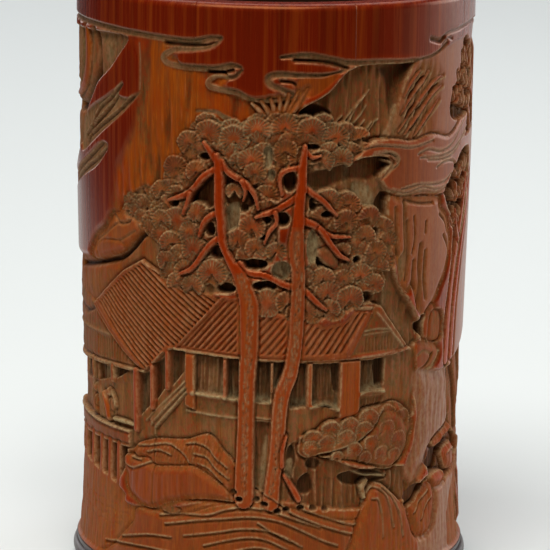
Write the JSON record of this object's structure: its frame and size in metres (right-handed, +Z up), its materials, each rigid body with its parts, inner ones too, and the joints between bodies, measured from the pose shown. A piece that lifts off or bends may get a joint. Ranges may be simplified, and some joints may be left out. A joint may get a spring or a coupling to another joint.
{
  "type": "brush holder pot",
  "caption": "Upright round brush pot of carved bamboo culm on a turned hardwood foot ring, with an inset floor, open at the mouth to hold writing brushes.",
  "frame": {"origin": "centre of the foot ring's underside", "axes": "+Z up along the culm, towards the mouth; the carved front faces -Y"},
  "size_m": [0.1096, 0.1096, 0.1621],
  "materials": {
    "carved_bamboo": "hand-polished patina on the skin, matt in the carving",
    "dark_hardwood": "satin wax",
    "nail_bamboo": "bare"
  },
  "bodies": {
    "root": {"culm_wall": "carved_bamboo", "foot_ring": "dark_hardwood", "floor_disc": "dark_hardwood", "foot_nail_1": "nail_bamboo", "foot_nail_2": "nail_bamboo", "foot_nail_3": "nail_bamboo", "foot_nail_4": "nail_bamboo"}
  },
  "joints": []
}
